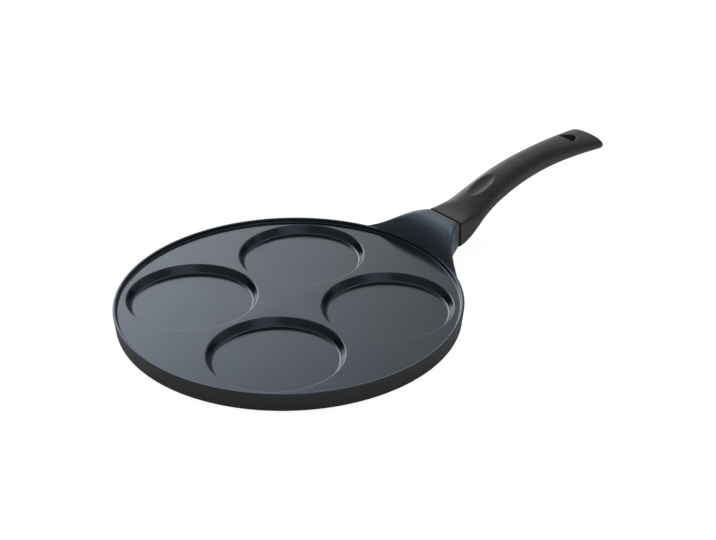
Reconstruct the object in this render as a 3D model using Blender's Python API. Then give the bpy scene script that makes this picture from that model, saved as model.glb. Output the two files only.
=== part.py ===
"""Pancake pan: a thick cast plate with four round wells and a low rim. A flared neck is cast on it,
and ends in a tang that carries a moulded handle. Metres, +Z up, the handle along +X, the origin at
the centre of the base's underside."""

import math

import bmesh
import bpy
from mathutils import Matrix, Vector

# Dish
RIM_RADIUS = 0.135
PAN_HEIGHT = 0.016
RIM_RISE = 0.0032
RIM_WIDTH = 0.0024
RIM_ROUND = 0.0008
RIM_WALL_RUN = 0.0030
RIM_FILLET = 0.0020
SIDE_LEAN = 0.0013
BASE_ROUND = 0.0032
RIM_SEGMENTS = 96

# Wells
WELL_COUNT = 4
WELL_TO_RIM = 0.0026
WELL_SPACING = 0.0057
WELL_FLOOR_THICKNESS = 0.0067
WELL_WALL_RUN = 0.0048
WELL_FILLET = 0.0024
WELL_EDGE_BREAK = 0.0007
WELL_SEGMENTS = 60

# Steel disc pressed into the base
DISC_RADIUS = 0.090
DISC_THICKNESS = 0.0008
DISC_CLEARANCE = 0.0003
DISC_HOLE_RADIUS = 0.0030
DISC_HOLE_PITCH = 0.026
DISC_FIRST_RING = 0.032
DISC_RING_STEP = 0.022
DISC_PLAIN_EDGE = 0.004
DISC_SEGMENTS = 72
DISC_HOLE_SEGMENTS = 12

# Neck, from the rim to the seam
NECK_LENGTH = 0.0265
NECK_ROOT_DEPTH = 0.0012
NECK_KEY_DEPTH = 0.0095
NECK_KEY_DROP = 0.0050
NECK_ROOT_HALF_WIDTH = 0.076
NECK_ROOT_BOTTOM = 0.0032
NECK_ROOT_BELOW_RIM = 0.0020
NECK_ROOT_DRAW_IN = 0.035
NECK_SEAM_DRAW_IN = 0.0130
NECK_TOP_RISE = 0.0055
NECK_TOP_CROWN = 0.0036
NECK_BELLY_RISE = 0.0033
NECK_BELLY_DROP = 0.0070
NECK_REACH = (0, 0.15, 0.08, 1)
NECK_SECTIONS = 14
SEAM_HALF_WIDTH = 0.0190
SEAM_HALF_HEIGHT = 0.0115
SEAM_HEIGHT = 0.0219
SEAM_SQUARENESS = 12.0
NECK_SQUARENESS = (2.2, 2.5, 5.0, SEAM_SQUARENESS)
SEAM_GROOVE = 0.0018
EDGE_BREAK = 0.0004
SECTION_POINTS = 36

# Tang and its socket
TANG_LENGTH = 0.027
TANG_ROOT = 0.006
TANG_HALF_WIDTH = 0.0080
TANG_HALF_HEIGHT = 0.0035
TANG_CORNER = 0.0015
TANG_PITCH = math.radians(18)
SOCKET_CLEARANCE = 0.0004

# Gasket between neck and handle
GASKET_CLEARANCE = 0.0003
GASKET_INSET = 0.0008

# Handle: its centreline, then its section at the shoulder, grip, waist and end
HANDLE_LENGTH = 0.1705
HANDLE_RISE = 0.0321
HANDLE_START_PULL = 0.0244
HANDLE_START_ANGLE = math.radians(2.3)
HANDLE_END_PULL = 0.1222
HANDLE_END_ANGLE = math.radians(-4.0)
HANDLE_TURN_IN = 0.026
HANDLE_SQUARENESS = 2.4
HANDLE_SQUARE_FADE = 0.040
SHOULDER_FROM_SEAM = 0.0197
SHOULDER_HALF_WIDTH = 0.0189
SHOULDER_HALF_HEIGHT = 0.0094
GRIP_FROM_SEAM = 0.0505
GRIP_HALF_WIDTH = 0.0151
GRIP_HALF_HEIGHT = 0.0102
WAIST_FROM_SEAM = 0.1075
WAIST_HALF_WIDTH = 0.0131
WAIST_HALF_HEIGHT = 0.0093
END_HALF_WIDTH = 0.0189
END_HALF_HEIGHT = 0.0060
END_ROUND = 0.0024
END_CORNER_INSET = 0.0011
END_EDGE = 0.0032
CURVE_STEPS = 200
HANDLE_STATIONS = 30
END_STEPS = 5

# Thumb rest
THUMB_FROM_SEAM = 0.0480
THUMB_HALF_LENGTH = 0.0136
THUMB_HALF_WIDTH = 0.0090
THUMB_DEPTH = 0.0019
THUMB_BOWL = 0.0040
THUMB_SEGMENTS = 28
THUMB_RINGS = 24

# Hanging hole
HOLE_FROM_END = 0.0235
HOLE_LENGTH = 0.0114
HOLE_WIDTH = 0.0156
HOLE_CORNER = 0.0024
HOLE_NOSE = 0.0045
HOLE_CORNER_STEPS = 5

# Screw and washers
SCREW_RADIUS = 0.0025
SCREW_FROM_SEAM = 0.0150
SCREW_CLEARANCE = 0.0003
SCREW_TIP_MARGIN = 0.0010
SCREW_CHAMFER = 0.0006
HEAD_RADIUS = 0.0046
HEAD_HEIGHT = 0.0025
HEAD_ROUND = 0.0008
HEAD_CLEARANCE = 0.0006
SEAT_WALL = 0.0022
STACK_GAP = 0.0003
FLAT_WASHER_RADIUS = 0.0048
FLAT_WASHER_THICKNESS = 0.0008
SPRING_WASHER_RADIUS = 0.0044
SPRING_WASHER_THICKNESS = 0.0011
SPRING_WASHER_SPLIT = math.radians(14)
SPRING_WASHER_LIFT = 0.0002
SCREW_SEGMENTS = 24

# How far a cutter runs past the face that it cuts
CUT_OVERRUN = 0.004
WELD_DISTANCE = 0.000001
SHARP_ANGLE = math.radians(30)
FILLET_STEPS = 4
EDGE_STEPS = 2

# Derived sizes
PLATE_HEIGHT = PAN_HEIGHT - RIM_RISE
PLATE_RADIUS = RIM_RADIUS - RIM_WIDTH - RIM_WALL_RUN
HALF_WELL_ANGLE = math.pi / WELL_COUNT
WELL_RING_RADIUS = (PLATE_RADIUS - WELL_TO_RIM + WELL_SPACING / 2) / (1 + math.sin(HALF_WELL_ANGLE))
WELL_RADIUS = WELL_RING_RADIUS * math.sin(HALF_WELL_ANGLE) - WELL_SPACING / 2
SEAM_X = RIM_RADIUS + NECK_LENGTH
HANDLE_X = SEAM_X + SEAM_GROOVE
SEAT_DEPTH = TANG_HALF_HEIGHT + SOCKET_CLEARANCE + SEAT_WALL
FLAT_WASHER_DEPTH = SEAT_DEPTH + STACK_GAP
SPRING_WASHER_DEPTH = FLAT_WASHER_DEPTH + FLAT_WASHER_THICKNESS + STACK_GAP
HEAD_DEPTH = SPRING_WASHER_DEPTH + SPRING_WASHER_THICKNESS + SPRING_WASHER_LIFT + STACK_GAP
WASHER_BORE = SCREW_RADIUS + SCREW_CLEARANCE
COUNTERBORE_RADIUS = max(HEAD_RADIUS, FLAT_WASHER_RADIUS, SPRING_WASHER_RADIUS) + HEAD_CLEARANCE


def bezier(controls, t):
    """Point or number on a cubic curve, for t from 0 to 1."""
    a, b, c, d = controls
    s = 1 - t
    return a * s**3 + b * 3 * s * s * t + c * 3 * s * t * t + d * t**3


def ease(t):
    """0 to 1 with a level start and finish, held outside that range."""
    t = min(max(t, 0.0), 1.0)
    return t * t * (3 - 2 * t)


def swell(knots, place):
    """Smooth value through (place, value) knots, with no overshoot between them."""
    rises = [(v1 - v0) / (u1 - u0) for (u0, v0), (u1, v1) in zip(knots, knots[1:])]
    slopes = [rises[0]]
    for before, after in zip(rises, rises[1:]):
        slopes.append(2 * before * after / (before + after) if before * after > 0 else 0.0)
    slopes.append(rises[-1])
    i = 0
    while i < len(knots) - 2 and place > knots[i + 1][0]:
        i += 1
    (u0, v0), (u1, v1) = knots[i], knots[i + 1]
    span = u1 - u0
    t = min(max((place - u0) / span, 0.0), 1.0)
    return bezier((v0, v0 + slopes[i] * span / 3, v1 - slopes[i + 1] * span / 3, v1), t)


def arc(centre, radius, start, finish, steps):
    """Points of a round stretch in a profile's plane, both ends included."""
    turns = [start + (finish - start) * i / steps for i in range(steps + 1)]
    return [(centre[0] + radius * math.cos(a), centre[1] + radius * math.sin(a)) for a in turns]


def fillet_to(centre, radius, point, steps, start):
    """Arc round a centre from a start angle to where the straight run to a point leaves it."""
    dx = point[0] - centre[0]
    dz = point[1] - centre[1]
    leave = math.atan2(dz, dx) - math.acos(min(radius / math.hypot(dx, dz), 1.0))
    return arc(centre, radius, start, leave, steps)


def superellipse(half_width, half_height, squareness, count):
    """Closed outline of (y, z) points, from a round section to a nearly square one."""
    power = 2 / squareness
    outline = []
    for i in range(count):
        angle = 2 * math.pi * i / count
        c, s = math.cos(angle), math.sin(angle)
        y = math.copysign(abs(c) ** power, c) * half_width
        z = math.copysign(abs(s) ** power, s) * half_height
        outline.append((y, z))
    return outline


def tangent_side(a, b):
    """Which way the straight side from one circle (x, y, radius) to the next one faces."""
    dx, dy = b[0] - a[0], b[1] - a[1]
    return math.atan2(dy, dx) - math.acos((a[2] - b[2]) / math.hypot(dx, dy))


def rounded_outline(circles, steps):
    """Outline round (x, y, radius) circles that run anticlockwise."""
    outline = []
    for i, circle in enumerate(circles):
        start = tangent_side(circles[i - 1], circle)
        finish = tangent_side(circle, circles[(i + 1) % len(circles)])
        while finish < start:
            finish += 2 * math.pi
        outline += arc(circle[:2], circle[2], start, finish, steps)
    return outline


def material(name, colour, roughness, metallic):
    slot = bpy.data.materials.new(name)
    slot.use_nodes = True
    shader = slot.node_tree.nodes["Principled BSDF"]
    shader.inputs["Base Color"].default_value = (*colour, 1.0)
    shader.inputs["Roughness"].default_value = roughness
    shader.inputs["Metallic"].default_value = metallic
    return slot


def finish_object(name, bm, slot=None, parent=None):
    """Object from a bmesh, with its faces turned out; one without a material is a hidden cutter."""
    bmesh.ops.remove_doubles(bm, verts=bm.verts, dist=WELD_DISTANCE)
    bmesh.ops.recalc_face_normals(bm, faces=bm.faces)
    mesh = bpy.data.meshes.new(name)
    bm.to_mesh(mesh)
    bm.free()
    mesh.shade_smooth()
    mesh.set_sharp_from_angle(angle=SHARP_ANGLE)
    piece = bpy.data.objects.new(name, mesh)
    bpy.context.collection.objects.link(piece)
    piece.parent = parent
    if slot:
        mesh.materials.append(slot)
    else:
        piece.hide_render = True
        piece.display_type = "WIRE"
    return piece


def turned(profile, segments, closed):
    """Profile of (radius, z) points turned once round the Z axis."""
    bm = bmesh.new()
    verts = [bm.verts.new((r, 0, z)) for r, z in profile]
    edges = [bm.edges.new(pair) for pair in zip(verts, verts[1:])]
    if closed:
        edges.append(bm.edges.new((verts[-1], verts[0])))
    bmesh.ops.spin(bm, geom=verts + edges, axis=(0, 0, 1), cent=(0, 0, 0), angle=2 * math.pi,
                   steps=segments, use_merge=True)
    return bm


def loft(rings):
    """Skin through rings of equally many points, closed by a flat face at each end."""
    bm = bmesh.new()
    loops = [[bm.verts.new(p) for p in ring] for ring in rings]
    count = len(loops[0])
    for low, high in zip(loops, loops[1:]):
        for i in range(count):
            j = (i + 1) % count
            bm.faces.new((low[i], low[j], high[j], high[i]))
    bm.faces.new(list(reversed(loops[0])))
    bm.faces.new(loops[-1])
    return bm


def prism(outline, low, high, axis):
    """Outline drawn across an axis, X or Z, and run along it from low to high."""
    if axis == "X":
        return loft([[(level, y, z) for y, z in outline] for level in (low, high)])
    return loft([[(x, y, level) for x, y in outline] for level in (low, high)])


def boolean(piece, tool, operation):
    step = piece.modifiers.new(f"{operation.lower()} {tool.name}", "BOOLEAN")
    step.operation = operation
    step.solver = "EXACT"
    step.object = tool


def dish_profile():
    """Half section of the dish, from the centre of its base round the rim to the plate's centre."""
    recess_radius = DISC_RADIUS + DISC_CLEARANCE
    recess_height = DISC_THICKNESS + DISC_CLEARANCE
    lip_outer = (RIM_RADIUS, PAN_HEIGHT - RIM_ROUND)
    lip_inner = (RIM_RADIUS - RIM_WIDTH, PAN_HEIGHT - RIM_ROUND)
    base_centre = (RIM_RADIUS - SIDE_LEAN - BASE_ROUND, BASE_ROUND)
    plate_centre = (PLATE_RADIUS, PLATE_HEIGHT + RIM_FILLET)
    profile = [(0, recess_height), (recess_radius, recess_height), (recess_radius, 0)]
    dx = lip_outer[0] - base_centre[0]
    dz = lip_outer[1] - base_centre[1]
    lean = math.atan2(dz, dx) - math.acos(BASE_ROUND / math.hypot(dx, dz))
    profile += arc(base_centre, BASE_ROUND, -math.pi / 2, lean, FILLET_STEPS)
    profile += arc((lip_outer[0] - RIM_ROUND, lip_outer[1]), RIM_ROUND, 0, math.pi / 2, EDGE_STEPS)
    profile += arc((lip_inner[0] + RIM_ROUND, lip_inner[1]), RIM_ROUND, math.pi / 2, math.pi, EDGE_STEPS)
    foot = fillet_to(plate_centre, RIM_FILLET, lip_inner, FILLET_STEPS, -math.pi / 2)
    profile += reversed(foot)
    profile.append((0, PLATE_HEIGHT))
    return profile


def well_profile():
    """Half section of the space that one well takes out of the plate."""
    floor_radius = WELL_RADIUS - WELL_WALL_RUN
    edge = (WELL_RADIUS - WELL_EDGE_BREAK, PLATE_HEIGHT - WELL_EDGE_BREAK)
    foot_centre = (floor_radius, WELL_FLOOR_THICKNESS + WELL_FILLET)
    profile = [(0, WELL_FLOOR_THICKNESS)]
    profile += fillet_to(foot_centre, WELL_FILLET, edge, FILLET_STEPS, -math.pi / 2)
    profile += [edge, (WELL_RADIUS, PLATE_HEIGHT)]
    top = (WELL_RADIUS + WELL_EDGE_BREAK, PLATE_HEIGHT + WELL_EDGE_BREAK)
    profile += [top, (top[0], PAN_HEIGHT + CUT_OVERRUN), (0, PAN_HEIGHT + CUT_OVERRUN)]
    return profile


def neck_rings():
    """Sections of the neck, from just inside the leaning rim wall to the upright seam face."""
    seam_bottom = SEAM_HEIGHT - SEAM_HALF_HEIGHT
    seam_top = SEAM_HEIGHT + SEAM_HALF_HEIGHT
    root_top = PAN_HEIGHT - NECK_ROOT_BELOW_RIM
    half_widths = (NECK_ROOT_HALF_WIDTH, NECK_ROOT_HALF_WIDTH - NECK_ROOT_DRAW_IN,
                   SEAM_HALF_WIDTH + NECK_SEAM_DRAW_IN, SEAM_HALF_WIDTH)
    tops = (root_top, root_top + NECK_TOP_RISE, seam_top + NECK_TOP_CROWN, seam_top)
    bottoms = (NECK_ROOT_BOTTOM, NECK_ROOT_BOTTOM + NECK_BELLY_RISE, seam_bottom - NECK_BELLY_DROP, seam_bottom)
    rings = [neck_ring(0, half_widths, tops[0] - NECK_KEY_DROP, bottoms[0], NECK_KEY_DEPTH)]
    for i in range(NECK_SECTIONS):
        u = i / (NECK_SECTIONS - 1)
        rings.append(neck_ring(u, half_widths, bezier(tops, u), bezier(bottoms, u), 0))
    rings.append(seam_ring(SEAM_X, EDGE_BREAK))
    return rings


def neck_ring(u, half_widths, top, bottom, sunk):
    """One section of the neck: bent round the rim wall at the root, straightening towards the seam."""
    squareness = bezier(NECK_SQUARENESS, u)
    outline = superellipse(bezier(half_widths, u), (top - bottom) / 2, squareness, SECTION_POINTS)
    reach = bezier(NECK_REACH, u)
    ring = []
    for y, z in outline:
        z += (top + bottom) / 2
        wall = RIM_RADIUS - NECK_ROOT_DEPTH - sunk - SIDE_LEAN * (1 - z / PAN_HEIGHT)
        ring.append((math.sqrt(wall * wall - y * y) * (1 - reach) + (SEAM_X - EDGE_BREAK) * reach, y, z))
    return ring


def seam_ring(x, inset):
    """The section that neck, gasket and handle share, drawn in by an inset."""
    outline = superellipse(SEAM_HALF_WIDTH - inset, SEAM_HALF_HEIGHT - inset, SEAM_SQUARENESS, SECTION_POINTS)
    return [(x, y, SEAM_HEIGHT + z) for y, z in outline]


def tang_outline(clearance):
    """Cross section of the tang, or of its socket with a clearance."""
    y = TANG_HALF_WIDTH - TANG_CORNER
    z = TANG_HALF_HEIGHT - TANG_CORNER
    radius = TANG_CORNER + clearance
    return rounded_outline([(-y, -z, radius), (y, -z, radius), (y, z, radius), (-y, z, radius)], EDGE_STEPS)


class HandleCurve:
    """Centreline of the handle in the XZ plane, with places given as distances from the seam."""

    def __init__(self):
        start = Vector((HANDLE_X, 0, SEAM_HEIGHT))
        end = start + Vector((HANDLE_LENGTH, 0, HANDLE_RISE))
        leave = Vector((math.cos(HANDLE_START_ANGLE), 0, math.sin(HANDLE_START_ANGLE)))
        arrive = Vector((math.cos(HANDLE_END_ANGLE), 0, math.sin(HANDLE_END_ANGLE)))
        controls = (start, start + leave * HANDLE_START_PULL, end - arrive * HANDLE_END_PULL, end)
        self.points = [bezier(controls, i / CURVE_STEPS) for i in range(CURVE_STEPS + 1)]
        self.reach = [0.0]
        for a, b in zip(self.points, self.points[1:]):
            self.reach.append(self.reach[-1] + (b - a).length)
        self.length = self.reach[-1]
        places = (0, SHOULDER_FROM_SEAM, GRIP_FROM_SEAM, WAIST_FROM_SEAM, self.length)
        widths = (SEAM_HALF_WIDTH, SHOULDER_HALF_WIDTH, GRIP_HALF_WIDTH, WAIST_HALF_WIDTH, END_HALF_WIDTH)
        heights = (SEAM_HALF_HEIGHT, SHOULDER_HALF_HEIGHT, GRIP_HALF_HEIGHT, WAIST_HALF_HEIGHT, END_HALF_HEIGHT)
        self.widths = list(zip(places, widths))
        self.heights = list(zip(places, heights))

    def at(self, distance):
        """Point and direction at a distance along the curve."""
        i = 1
        while i < len(self.reach) - 1 and self.reach[i] < distance:
            i += 1
        span = self.points[i] - self.points[i - 1]
        part = (distance - self.reach[i - 1]) / (self.reach[i] - self.reach[i - 1])
        return self.points[i - 1] + span * part, span.normalized()

    def frame(self, distance):
        """Placement with X along the handle and Z out of its top."""
        point, along = self.at(distance)
        up = along.cross(Vector((0, 1, 0)))
        return Matrix((
            (along.x, 0, up.x, point.x),
            (0, 1, 0, 0),
            (along.z, 0, up.z, point.z),
            (0, 0, 0, 1),
        ))

    def half_sizes(self, distance):
        return swell(self.widths, distance), swell(self.heights, distance)


def handle_rings(curve):
    """Sections of the handle: upright at the seam, then square to the centreline, rounded at the end."""
    body_end = curve.length - END_ROUND
    places = [body_end * i / (HANDLE_STATIONS - 1) for i in range(HANDLE_STATIONS)]
    turns = [math.pi / 2 * i / END_STEPS for i in range(1, END_STEPS + 1)]
    places += [body_end + END_ROUND * math.sin(turn) for turn in turns]
    closing = [1.0] * HANDLE_STATIONS + [math.cos(turn) for turn in turns]
    rings = [seam_ring(HANDLE_X, EDGE_BREAK)]
    for place, open_part in zip(places, closing):
        centre, along = curve.at(place)
        width, height = curve.half_sizes(place)
        width -= END_CORNER_INSET * (1 - open_part)
        height = END_EDGE + (height - END_EDGE) * open_part
        square = (1 - ease(place / HANDLE_SQUARE_FADE)) ** 3
        squareness = HANDLE_SQUARENESS + (SEAM_SQUARENESS - HANDLE_SQUARENESS) * square
        tilt = math.atan2(along.z, along.x) * ease(place / HANDLE_TURN_IN)
        shift = EDGE_BREAK * max(1 - place / HANDLE_TURN_IN, 0)
        ring = []
        for y, z in superellipse(width, height, squareness, SECTION_POINTS):
            ring.append((centre.x + shift - z * math.sin(tilt), y, centre.z + z * math.cos(tilt)))
        rings.append(ring)
    return rings


def joint_frame():
    """Empty on the tang's axis where it leaves the seam, X along the tang; the screw is square to it."""
    anchor = bpy.data.objects.new("handle_joint", None)
    bpy.context.collection.objects.link(anchor)
    anchor.location = (SEAM_X, 0, SEAM_HEIGHT)
    anchor.rotation_euler = (0, -TANG_PITCH, 0)
    return anchor


def on_screw_axis(piece):
    piece.location.x = SCREW_FROM_SEAM
    return piece


def pan_body(joint, slot):
    piece = finish_object("pan_body", turned(dish_profile(), RIM_SEGMENTS, closed=False), slot)
    boolean(piece, finish_object("neck_form", loft(neck_rings())), "UNION")
    tang = prism(tang_outline(0), -TANG_ROOT, TANG_LENGTH, "X")
    boolean(piece, finish_object("tang_form", tang, parent=joint), "UNION")
    for i in range(WELL_COUNT):
        well = finish_object(f"well_form_{i + 1}", turned(well_profile(), WELL_SEGMENTS, closed=False))
        angle = HALF_WELL_ANGLE * (2 * i + 1)
        well.location = (WELL_RING_RADIUS * math.cos(angle), WELL_RING_RADIUS * math.sin(angle), 0)
        boolean(piece, well, "DIFFERENCE")
    reach = TANG_HALF_HEIGHT + CUT_OVERRUN
    bore = turned([(0, -reach), (WASHER_BORE, -reach), (WASHER_BORE, reach), (0, reach)], SCREW_SEGMENTS, closed=False)
    boolean(piece, on_screw_axis(finish_object("tang_bore_form", bore, parent=joint)), "DIFFERENCE")
    return piece


def induction_disc(slot):
    """Round steel plate, flush with the base, with rings of holes that key it to the casting."""
    profile = [(0, 0), (DISC_RADIUS, 0), (DISC_RADIUS, DISC_THICKNESS), (0, DISC_THICKNESS)]
    piece = finish_object("induction_disc", turned(profile, DISC_SEGMENTS, closed=False), slot)
    holes = bmesh.new()
    ring_radius = DISC_FIRST_RING
    while ring_radius < DISC_RADIUS - DISC_PLAIN_EDGE - DISC_HOLE_RADIUS:
        count = round(2 * math.pi * ring_radius / DISC_HOLE_PITCH)
        for i in range(count):
            place = Matrix.Rotation(2 * math.pi * i / count, 4, "Z") @ Matrix.Translation((ring_radius, 0, 0))
            bmesh.ops.create_cone(holes, cap_ends=True, segments=DISC_HOLE_SEGMENTS, radius1=DISC_HOLE_RADIUS,
                                  radius2=DISC_HOLE_RADIUS, depth=2 * CUT_OVERRUN, matrix=place)
        ring_radius += DISC_RING_STEP
    boolean(piece, finish_object("disc_hole_form", holes), "DIFFERENCE")
    return piece


def heat_gasket(socket, slot):
    """Thin ring that fills the groove between neck and handle and hugs the tang."""
    faces = (SEAM_X + GASKET_CLEARANCE, HANDLE_X - GASKET_CLEARANCE)
    piece = finish_object("heat_gasket", loft([seam_ring(x, GASKET_INSET) for x in faces]), slot)
    boolean(piece, socket, "DIFFERENCE")
    return piece


def thumb_form(curve):
    """Ellipsoid that leaves an oval dip in the top of the handle."""
    lift = THUMB_BOWL - THUMB_DEPTH
    spread = 1 / math.sqrt(1 - (lift / THUMB_BOWL) ** 2)
    scale = Matrix.Diagonal((THUMB_HALF_LENGTH * spread, THUMB_HALF_WIDTH * spread, THUMB_BOWL, 1))
    top = curve.half_sizes(THUMB_FROM_SEAM)[1]
    place = curve.frame(THUMB_FROM_SEAM) @ Matrix.Translation((0, 0, top + lift)) @ scale
    bm = bmesh.new()
    bmesh.ops.create_uvsphere(bm, u_segments=THUMB_SEGMENTS, v_segments=THUMB_RINGS, radius=1, matrix=place)
    return finish_object("thumb_form", bm)


def hole_form(curve):
    """Hanging hole, straight towards the pan and rounded towards the handle's end, run through the handle."""
    place = curve.length - HOLE_FROM_END
    back = HOLE_CORNER - HOLE_LENGTH / 2
    side = HOLE_WIDTH / 2 - HOLE_CORNER
    nose = HOLE_LENGTH / 2 - HOLE_NOSE
    circles = [(back, -side, HOLE_CORNER), (nose, 0, HOLE_NOSE), (back, side, HOLE_CORNER)]
    outline = rounded_outline(circles, HOLE_CORNER_STEPS)
    reach = curve.half_sizes(place)[1] + CUT_OVERRUN
    bm = prism(outline, -reach, reach, "Z")
    bm.transform(curve.frame(place))
    return finish_object("hole_form", bm)


def screw_form(joint):
    """Way for the screw up to the socket, and the wide counterbore for its head and washers."""
    deep = -(HEAD_DEPTH + HEAD_HEIGHT + CUT_OVERRUN)
    profile = [(0, 0), (WASHER_BORE, 0), (WASHER_BORE, -SEAT_DEPTH), (COUNTERBORE_RADIUS, -SEAT_DEPTH)]
    profile += [(COUNTERBORE_RADIUS, deep), (0, deep)]
    form = finish_object("screw_form", turned(profile, SCREW_SEGMENTS, closed=False), parent=joint)
    return on_screw_axis(form)


def handle_grip(curve, socket, joint, slot):
    piece = finish_object("handle_grip", loft(handle_rings(curve)), slot)
    for form in (socket, thumb_form(curve), hole_form(curve), screw_form(joint)):
        boolean(piece, form, "DIFFERENCE")
    return piece


def handle_screw(joint, slot):
    """Pan-head screw, its head down in the counterbore and its tip up in the tang."""
    low = -(HEAD_DEPTH + HEAD_HEIGHT)
    tip = TANG_HALF_HEIGHT - SCREW_TIP_MARGIN
    profile = [(0, low)]
    profile += arc((HEAD_RADIUS - HEAD_ROUND, low + HEAD_ROUND), HEAD_ROUND, -math.pi / 2, 0, EDGE_STEPS)
    profile += [(HEAD_RADIUS, -HEAD_DEPTH), (SCREW_RADIUS, -HEAD_DEPTH)]
    profile += [(SCREW_RADIUS, tip - SCREW_CHAMFER), (SCREW_RADIUS - SCREW_CHAMFER, tip), (0, tip)]
    return on_screw_axis(finish_object("handle_screw", turned(profile, SCREW_SEGMENTS, closed=False), slot, joint))


def flat_washer(joint, slot):
    top = -FLAT_WASHER_DEPTH
    low = top - FLAT_WASHER_THICKNESS
    profile = [(WASHER_BORE, low), (FLAT_WASHER_RADIUS, low), (FLAT_WASHER_RADIUS, top), (WASHER_BORE, top)]
    return on_screw_axis(finish_object("flat_washer", turned(profile, SCREW_SEGMENTS, closed=True), slot, joint))


def spring_washer(joint, slot):
    """Split ring whose ends stand slightly out of line."""
    low = -(SPRING_WASHER_DEPTH + SPRING_WASHER_THICKNESS + SPRING_WASHER_LIFT)
    bm = bmesh.new()
    outline = [(WASHER_BORE, low), (SPRING_WASHER_RADIUS, low)]
    outline += [(r, z + SPRING_WASHER_THICKNESS) for r, z in reversed(outline)]
    section = bm.faces.new([bm.verts.new((r, 0, z)) for r, z in outline])
    swept = 2 * math.pi - SPRING_WASHER_SPLIT
    bmesh.ops.spin(bm, geom=[section], axis=(0, 0, 1), cent=(0, 0, 0), angle=swept, steps=SCREW_SEGMENTS,
                   dvec=(0, 0, SPRING_WASHER_LIFT / SCREW_SEGMENTS))
    return on_screw_axis(finish_object("spring_washer", bm, slot, joint))


def build():
    for old in list(bpy.data.objects):
        bpy.data.objects.remove(old, do_unlink=True)
    coated = material("non_stick_coating", (0.035, 0.040, 0.046), 0.35, 0.0)
    steel = material("brushed_steel", (0.55, 0.55, 0.56), 0.35, 1.0)
    rubber = material("black_rubber", (0.008, 0.008, 0.008), 0.75, 0.0)
    moulded = material("soft_touch_black", (0.030, 0.030, 0.030), 0.60, 0.0)
    joint = joint_frame()
    curve = HandleCurve()
    socket_reach = TANG_LENGTH + SOCKET_CLEARANCE
    socket_bm = prism(tang_outline(SOCKET_CLEARANCE), -CUT_OVERRUN, socket_reach, "X")
    socket = finish_object("socket_form", socket_bm, parent=joint)
    pan_body(joint, coated)
    induction_disc(steel)
    heat_gasket(socket, rubber)
    handle_grip(curve, socket, joint, moulded)
    handle_screw(joint, steel)
    flat_washer(joint, steel)
    spring_washer(joint, steel)


build()
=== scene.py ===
"""Pancake pan, dressed: the fine casting with its wells and neck, the moulded handle with its
gasket and screw, the steel base plate, their finishes, and a plain studio."""

import math

import bmesh
import bpy
from mathutils import Euler, Matrix, Vector


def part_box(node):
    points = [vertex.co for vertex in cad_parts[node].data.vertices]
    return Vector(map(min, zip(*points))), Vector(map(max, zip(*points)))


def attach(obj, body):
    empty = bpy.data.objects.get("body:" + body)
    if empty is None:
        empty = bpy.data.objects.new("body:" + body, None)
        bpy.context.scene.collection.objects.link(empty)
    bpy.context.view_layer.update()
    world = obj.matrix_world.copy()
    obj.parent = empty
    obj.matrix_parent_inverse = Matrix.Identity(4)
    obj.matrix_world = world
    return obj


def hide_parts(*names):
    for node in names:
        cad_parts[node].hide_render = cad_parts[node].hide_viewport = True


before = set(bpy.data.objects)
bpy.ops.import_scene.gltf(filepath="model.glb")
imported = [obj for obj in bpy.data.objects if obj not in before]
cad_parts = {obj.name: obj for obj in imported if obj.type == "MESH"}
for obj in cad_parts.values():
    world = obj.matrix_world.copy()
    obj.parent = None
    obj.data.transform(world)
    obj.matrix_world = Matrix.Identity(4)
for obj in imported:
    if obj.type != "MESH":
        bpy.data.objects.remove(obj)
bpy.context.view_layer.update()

bl_info = {
    "name": "Pancake Pan",
    "version": (1, 0, 0),
    "blender": (4, 5, 0),
    "location": "3D View > Sidebar > Pancake Pan",
    "description": "Models a cast pancake pan with a moulded handle",
    "category": "Object",
}

PAN_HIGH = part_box("pan_body")[1]
PLATE_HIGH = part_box("induction_disc")[1]
BODY = "root"

# Facets and sections of the fine pieces
RIM_STEPS = 288
WELL_STEPS = 180
PLATE_STEPS = 192
PLATE_HOLE_STEPS = 36
BORE_STEPS = 48
COUNTERBORE_STEPS = 72
FASTENER_STEPS = 64
HANGING_HOLE_STEPS = 14
ROUND_STEPS = 8
EDGE_STEPS = 4
SECTION_POINTS = 128
NECK_SECTIONS = 44
HANDLE_SECTIONS = 110
HOLE_SECTIONS = 46
END_SPACING = 0.0007
END_STEPS = 12
CURVE_STEPS = 400

# Squareness of a section: 2 is round, and more is squarer
SEAM_SQUARENESS = 12.0
NECK_SQUARENESS = (2.2, 2.5, 5.0, SEAM_SQUARENESS)
HANDLE_SQUARENESS = 2.4

# Share of the way from the rim's wall to the seam, as a cubic curve
NECK_REACH = (0, 0.15, 0.08, 1)

# Half the height of the rounded form that presses the thumb rest
THUMB_BOWL = 0.0040

# Small broken edges
TANG_EDGE = 0.0003
RECESS_EDGE = 0.0003
PLATE_EDGE = 0.00012
WASHER_EDGE = 0.0001
BEVEL_SEGMENTS = 2
BEVEL_ANGLE = math.radians(60)
SMOOTH_ANGLE = math.radians(35)

# Points closer than this are merged, and a cutter runs this far past what it cuts
DOUBLES = 0.000002
CUT_OVERRUN = 0.004

# The part of a noise's range that a finish spreads over its own range
NOISE_LOW = 0.3
NOISE_HIGH = 0.7

# Studio: the floor lies just under the base, and the camera sees it white with a share of the shadow
FLOOR_SIZE = 12
FLOOR_DROP = 0.0001
FLOOR_SHADE = 0.18
FLOOR_GLOW = 1.13
LAMP_PLACE = (-0.35, 0.75, 1.5)
LAMP_SIZE = 1.3
SENSOR_WIDTH = 36
CAMERA_SHIFT = -0.0008
CAMERA_CLIP = (0.01, 50)

# Level direction to the back of the studio, where the brighter reflections lie
STUDIO_BACK = (0.641, 0.7675, 0)


def metres(name, description, default):
    return bpy.props.FloatProperty(name=name, description=description, default=default,
                                   unit="LENGTH", subtype="DISTANCE", precision=4)


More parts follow.
